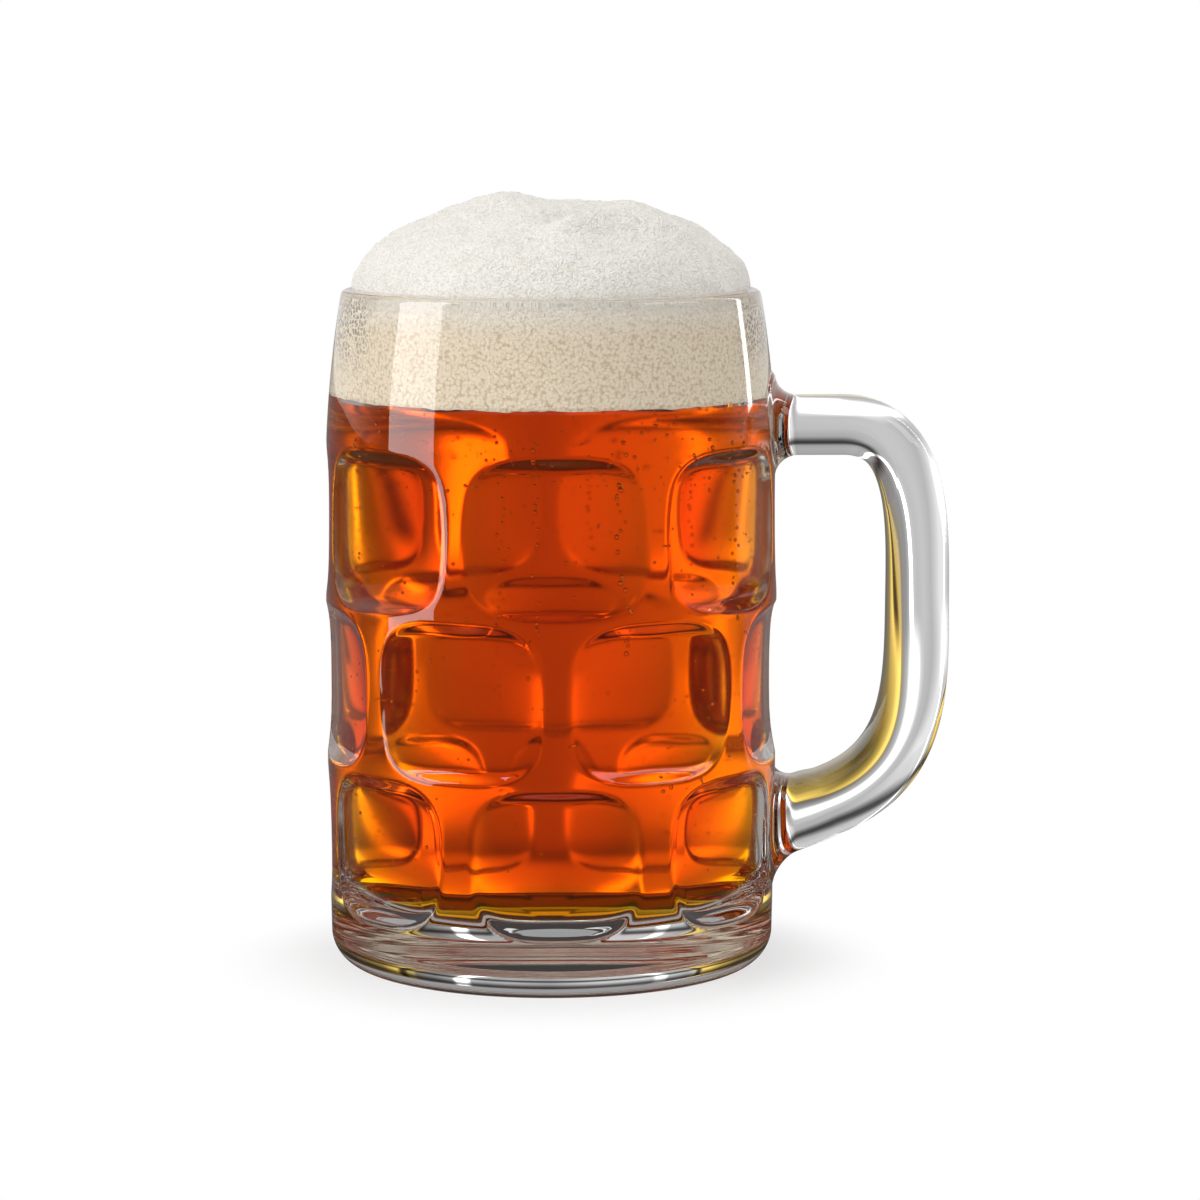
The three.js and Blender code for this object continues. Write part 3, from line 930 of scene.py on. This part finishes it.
# %% [markdown]
# ## Studio
# The mug stands on a pale floor in a white room. A clear object shows nothing but its
# surroundings, so they are set by what a ray does: seen directly the room is white, and seen
# through the glass it has bright windows and darker gaps, as a product photographer arranges with
# white and black cards. Modelled cards would do as well, but they would stand in the way of other
# views.

# %% Render limits and floor plane
scene = bpy.context.scene
scene.view_settings.view_transform = "Standard"
scene.cycles.blur_glossy = 0
scene.cycles.max_bounces = 24
scene.cycles.transmission_bounces = 24
scene.cycles.glossy_bounces = 12
scene.cycles.diffuse_bounces = 8


FLOOR_SIZE = 6
FLOOR_DROP = 0.3 * MM


def plane(name, width, height, place):
    x, y = width / 2, height / 2
    panel = add_mesh(name, [(-x, -y, 0), (x, -y, 0), (x, y, 0), (-x, y, 0)], [(0, 1, 2, 3)])
    panel.location = place
    return panel


floor = plane("floor", FLOOR_SIZE, FLOOR_SIZE, (0, 0, -FLOOR_DROP))
print("floor below the base, mm:", round(-floor.location.z / MM, 2))

# %% [markdown]
# ## Light levels
# The cards are tables of light levels. Sideways ones run from the left to the right behind the
# mug, in degrees, for the near floor and for the far room. Upward ones run from below to above.
# Along the floor, the level changes with the distance from the mug's axis in metres. Inner ones
# are for light that was reflected inside the glass first. The cards far to the sides are gold, as
# is usual for drinks: they put an amber edge on the clear handle and change the beer little, since
# it takes out the blue anyway.

# %% Light levels
TABLE_TOP = 5.0


def stops(tree, value, table):
    """A value that follows a table of (place, height) pairs, with straight runs between them."""
    low, high = table[0][0], table[-1][0]
    share = calc(tree, "DIVIDE", calc(tree, "SUBTRACT", value, low), high - low)
    curve = tree.nodes.new("ShaderNodeValToRGB")
    tree.links.new(share, curve.inputs[0])
    points = curve.color_ramp.elements
    while len(points) < len(table):
        points.new(0.5)
    for point, (place, height) in zip(points, table):
        point.position = (place - low) / (high - low)
        point.color = (height / TABLE_TOP, height / TABLE_TOP, height / TABLE_TOP, 1)
    return calc(tree, "MULTIPLY", curve.outputs[0], TABLE_TOP)


def sines(table):
    return [(math.sin(math.radians(angle)), height) for angle, height in table]


FAR_SIDEWAYS = sines(
    [(-90, 0.2), (-45, 0.3), (-37, 0.7), (-33, 1.4), (-30.5, 1.5), (-29.7, 0.1), (-28.7, 0.1), (-28, 1),
     (-26, 0.6), (-21, 0.8), (-20, 2.4), (-18.4, 2.4), (-17.4, 0.9), (-7, 0.85), (2, 0.5), (9, 0.6),
     (13, 0.55), (16, 0.65), (16.9, 4.6), (18.8, 4.6), (19.7, 0.5), (24, 0.3), (28.5, 0.3), (29.5, 0.7),
     (31, 0.7), (31.8, 0.06), (33.5, 0.06), (34.5, 1.3), (40, 0.35), (60, 0.05), (90, 0.2)]
)
NEAR_SIDEWAYS = sines(
    [(-90, 0.2), (-60, 0.1), (-45, 0.3), (-38, 1.1), (-33, 1.5), (-30, 1.2), (-26, 1.1), (-21, 1.6),
     (-17, 1.9), (-12, 1.4), (-8, 0.85), (-4, 0.68), (2, 0.48), (9, 0.55), (12, 0.8), (14.5, 1.8),
     (18, 2.1), (20, 1.3), (22.5, 0.55), (27, 0.36), (29.7, 0.4), (30.8, 1.5), (33, 1.4), (36, 0.8),
     (42, 0.3), (60, 0.1), (90, 0.2)]
)
UPWARD = sines(
    [(-90, 0.4), (-3, 0.95), (4, 0.8), (7, 0.3), (9, 0.08), (11, 0.1), (15, 0.7), (25, 0.8),
     (45, 0.9), (90, 0.8)]
)
ALONG_FLOOR = [
    (0, 1.5), (0.1, 1.5), (0.12, 0.8), (0.13, 0.5), (0.16, 0.6), (0.2, 0.9), (0.3, 1), (3, 1)
]
INNER_UPWARD = sines(
    [(-90, 0.03), (0, 0.03), (6, 0.15), (10, 0.8), (16, 0.8), (20, 0.05), (50, 0.05), (90, 0.2)]
)
INNER_FLOOR = 0.35
FRONT_DARK = 0.04
BACK_LIGHT = 0.8
FLOOR_BACK_LIGHT = 0.2
ROOM_LIGHT = 0.62
WHITE = (1, 1, 1, 1)
GOLD = (1, 0.7, 0.15, 1)
GOLD_FROM = math.sin(math.radians(25.5))
GOLD_FULL = math.sin(math.radians(31.5))
print("light levels:", len(FAR_SIDEWAYS) + len(NEAR_SIDEWAYS), "steps")

# %% [markdown]
# ## Room
# The room is the world behind everything. It lights the foam evenly, is white to the camera, is
# dim on the camera's side so that the front of the glass stays clear, and follows the tables for
# rays that come through the glass. A picture of a studio is the usual way, but a few ramps are
# lighter and stay plain.

# %% Room
SMALLEST_REACH = 0.0001


def flat_direction(tree, place):
    """Splits a direction or place on the floor into sine across, share of depth, reach and height."""
    x, y, z = node(tree, "ShaderNodeSeparateXYZ", None, place).outputs
    square = calc(tree, "ADD", calc(tree, "MULTIPLY", x, x), calc(tree, "MULTIPLY", y, y))
    reach = calc(tree, "MAXIMUM", calc(tree, "SQRT", square), SMALLEST_REACH)
    return calc(tree, "DIVIDE", x, reach), calc(tree, "DIVIDE", y, reach), reach, z


def choose(tree, share, plain, other):
    """plain where share is 0, other where it is 1."""
    mix = tree.nodes.new("ShaderNodeMix")
    for name, value in (("Factor", share), ("A", plain), ("B", other)):
        if isinstance(value, bpy.types.NodeSocket):
            tree.links.new(value, mix.inputs[name])
        else:
            mix.inputs[name].default_value = value
    return mix.outputs["Result"]


def ray_kinds(tree):
    """What a ray from the mug looks for: a view straight through the glass, or a reflection in it."""
    path = tree.nodes.new("ShaderNodeLightPath").outputs
    clear = calc(tree, "LESS_THAN", path["Diffuse Depth"], 0.5)
    mirrored = calc(tree, "GREATER_THAN", path["Glossy Depth"], 0.5)
    bent = calc(tree, "MULTIPLY", path["Is Transmission Ray"], clear)
    shiny = calc(tree, "MULTIPLY", path["Is Glossy Ray"], path["Is Reflection Ray"])
    outer = calc(tree, "MULTIPLY", shiny, clear)
    inner = calc(tree, "MULTIPLY", bent, mirrored)
    through = calc(tree, "MULTIPLY", bent, calc(tree, "SUBTRACT", 1, mirrored))
    return path["Is Camera Ray"], outer, inner, through


def card_colour(tree, across, through):
    """White behind the mug and gold at both sides, for rays through the glass."""
    aside = ramp(tree, calc(tree, "ABSOLUTE", across), GOLD_FROM, GOLD_FULL, 0, 1)
    return blend(tree, calc(tree, "MULTIPLY", aside, through), WHITE, GOLD)


def studio_world():
    world = bpy.data.worlds.new("studio")
    world.use_nodes = True
    tree = world.node_tree
    background = tree.nodes["Background"]
    direction = tree.nodes.new("ShaderNodeTexCoord").outputs["Generated"]
    across, depth, _, z = flat_direction(tree, direction)
    seen_through = calc(tree, "MULTIPLY", stops(tree, across, FAR_SIDEWAYS), stops(tree, z, UPWARD))
    reflected = ramp(tree, depth, 0, 0.8, FRONT_DARK, BACK_LIGHT)
    camera_ray, outer, inner, through = ray_kinds(tree)
    value = choose(tree, outer, ROOM_LIGHT, reflected)
    value = choose(tree, inner, value, stops(tree, z, INNER_UPWARD))
    value = choose(tree, through, value, seen_through)
    value = choose(tree, camera_ray, value, 1)
    tree.links.new(value, background.inputs["Strength"])
    tree.links.new(card_colour(tree, across, through), background.inputs["Color"])
    return world


scene.world = studio_world()
print("room:", len(scene.world.node_tree.nodes), "nodes")

# %% [markdown]
# ## Floor
# The floor is pale and matt and keeps the mug's shadow near the base. Farther out it fades to
# white for the camera, so that no horizon shows. In reflections and through the glass it is no lit
# surface but glows at set light levels, by the same tables as the room.

# %% Floor
FLOOR_COLOUR = (0.96, 0.96, 0.96, 1)
NEAR_TO_FAR = (0.42, 0.62)
FADE_TO_WHITE = (0.045, 0.075)


def floor_material():
    material, tree, shader = new_material("pale_floor")
    material.cycles.emission_sampling = "NONE"
    shader.inputs["Base Color"].default_value = FLOOR_COLOUR
    shader.inputs["Roughness"].default_value = 0.7
    place = tree.nodes.new("ShaderNodeTexCoord").outputs["Object"]
    across, depth, reach, _ = flat_direction(tree, place)
    far = ramp(tree, reach, *NEAR_TO_FAR, 0, 1)
    sideways = choose(tree, far, stops(tree, across, NEAR_SIDEWAYS), stops(tree, across, FAR_SIDEWAYS))
    seen_through = calc(tree, "MULTIPLY", sideways, stops(tree, reach, ALONG_FLOOR))
    reflected = ramp(tree, depth, 0.5, 0.95, FRONT_DARK, FLOOR_BACK_LIGHT)
    camera_ray, outer, inner, through = ray_kinds(tree)
    # For rays from the glass the floor glows at set light levels instead of being lit.
    glow = tree.nodes.new("ShaderNodeEmission")
    value = choose(tree, inner, choose(tree, outer, 1, reflected), INNER_FLOOR)
    value = choose(tree, through, value, seen_through)
    tree.links.new(value, glow.inputs["Strength"])
    tree.links.new(card_colour(tree, across, through), glow.inputs["Color"])
    share = calc(tree, "MULTIPLY", camera_ray, ramp(tree, reach, *FADE_TO_WHITE, 0, 1))
    for kind in (outer, inner, through):
        share = calc(tree, "MAXIMUM", share, kind)
    mix = node(tree, "ShaderNodeMixShader", None, share, shader.outputs[0], glow.outputs[0])
    tree.links.new(mix.outputs[0], tree.nodes["Material Output"].inputs["Surface"])
    return material


floor.data.materials.append(floor_material())
print("floor finish:", floor.data.materials[0].name)

# %% [markdown]
# ## Lamps and soft boxes
# One soft lamp from the left and one from above light the foam and the floor. Three bright panels
# are seen only as reflections: the tall soft box that draws the pale strip down the left side, and
# two on the right. Lamps could be mirrored too, but separate panels set the highlights without
# changing the light on the foam.

# %% Lamps and soft boxes
CAMERA_TURN = math.radians(-2)
LAMP_AIM = Vector((0, 0, 0.08))


def beside(azimuth, distance, height):
    """A place at an angle from the camera's side of the mug, counted to the right."""
    turn = math.radians(azimuth - 90) + CAMERA_TURN
    return Vector((distance * math.cos(turn), distance * math.sin(turn), height))


def lamp(name, place, width, tall, radiance):
    """A soft lamp that lights the foam and floor."""
    light = bpy.data.lights.new(name, "AREA")
    light.shape = "RECTANGLE"
    light.size = width
    light.size_y = tall
    light.energy = radiance * math.pi * width * tall
    box = bpy.data.objects.new(name, light)
    box.location = place
    box.rotation_euler = (LAMP_AIM - place).to_track_quat("-Z", "Y").to_euler()
    box.visible_camera = False
    box.visible_glossy = False
    box.visible_transmission = False
    bpy.context.collection.objects.link(box)


def mirrored_panel(name, place, width, tall, radiance):
    """The bright face of a soft box, which shows only as a reflection in the glass."""
    panel = plane(name, width, tall, place)
    flat = Vector((-place.x, -place.y, 0))
    panel.rotation_euler = flat.to_track_quat("Z", "Y").to_euler()
    material, tree, shader = new_material(name)
    material.cycles.emission_sampling = "NONE"
    tree.nodes.remove(shader)
    glow = node(tree, "ShaderNodeEmission", None, WHITE, radiance)
    tree.links.new(glow.outputs[0], tree.nodes["Material Output"].inputs["Surface"])
    panel.data.materials.append(material)
    panel.visible_camera = False
    panel.visible_diffuse = False
    panel.visible_transmission = False
    panel.visible_shadow = False


lamp("left_lamp", beside(-65, distance=0.9, height=0.4), width=0.5, tall=0.7, radiance=3.1)
lamp("top_lamp", beside(10, distance=0.2, height=0.9), width=0.7, tall=0.7, radiance=2.1)
left, right, rear = (
    beside(-72, distance=0.45, height=0.3),
    beside(72, distance=0.6, height=0.55),
    beside(121, distance=0.6, height=0.4),
)
mirrored_panel("left_soft_box", left, width=0.225, tall=0.6, radiance=4.5)
mirrored_panel("right_soft_box", right, width=0.4, tall=0.4, radiance=2.5)
mirrored_panel("right_rear_strip", rear, width=0.05, tall=0.7, radiance=7)

print("lamps:", len(bpy.data.lights))

# %% [markdown]
# ## Camera
# The camera stands 0.95 m away, a little above the rim, and looks slightly down. Its place and
# focal length were found by fitting the rim, the base and the handle to the photograph, and it
# needs no shift.

# %% Camera
CAMERA_OFFSET = Vector((10.2, -947, 194.7)) * MM
CAMERA_PITCH = 0.124
FOCAL_PIXELS = 4542.5
FRAME_PIXELS = 1200
SENSOR_WIDTH = 36

camera_data = bpy.data.cameras.new("camera")
camera_data.sensor_width = SENSOR_WIDTH
camera_data.lens = FOCAL_PIXELS / FRAME_PIXELS * SENSOR_WIDTH
camera = bpy.data.objects.new("camera", camera_data)
camera.location = Euler((0, 0, CAMERA_TURN)).to_matrix() @ CAMERA_OFFSET
camera.rotation_euler = (math.pi / 2 - CAMERA_PITCH, 0, CAMERA_TURN)
bpy.context.collection.objects.link(camera)
scene.camera = camera

print("camera at:", [round(v, 3) for v in camera.location])
